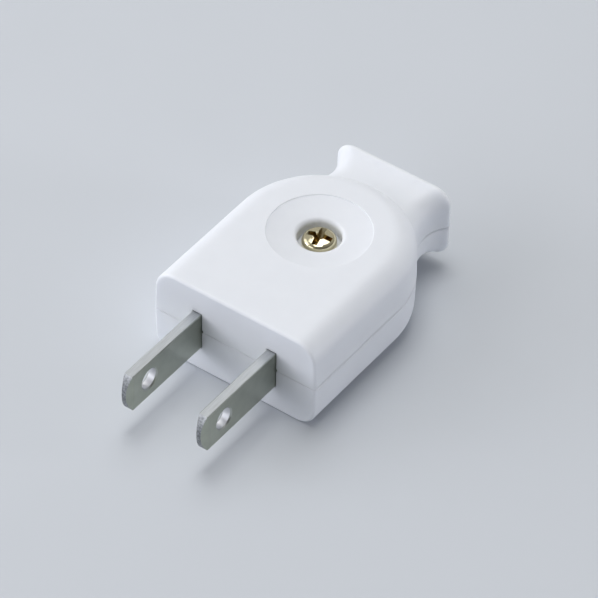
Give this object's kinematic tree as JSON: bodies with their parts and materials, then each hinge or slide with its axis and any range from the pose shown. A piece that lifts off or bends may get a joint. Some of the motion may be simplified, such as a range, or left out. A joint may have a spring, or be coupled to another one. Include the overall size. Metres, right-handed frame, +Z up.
{
  "type": "flat pin plug",
  "caption": "Rewirable mains plug: drilled flat blades on the mating face of a white case split along its middle, held by a screw in a round dish, with a flared cord end.",
  "frame": {"origin": "middle of the mating face, midway between the blades and on the case's parting plane", "axes": "-Y along the blades to their tips, +Y to the cord end, +X across the blades, +Z up out of the cover with the screw"},
  "size_m": [0.0276, 0.0551, 0.015],
  "materials": {
    "case_plastic": "white moulded thermoset plastic, smooth with a soft sheen",
    "blade_plate": "nickel-plated brass strip, drawn grain along its length, coined edges",
    "screw_brass": "bright yellow plating, polished pan head",
    "terminal_steel": "bright zinc-plated steel",
    "spring_steel": "dull plated spring steel",
    "washer_plate": "nickel-plated brass plate, stamped",
    "nut_steel": "bright zinc-plated steel"
  },
  "bodies": {
    "root": {"upper_cover": "case_plastic", "lower_base": "case_plastic", "left_blade": "blade_plate", "right_blade": "blade_plate", "left_clamp_washer": "washer_plate", "right_clamp_washer": "washer_plate", "left_spring_washer": "spring_steel", "right_spring_washer": "spring_steel", "left_terminal_screw": "terminal_steel", "right_terminal_screw": "terminal_steel", "case_screw": "screw_brass", "case_nut": "nut_steel"}
  },
  "joints": []
}
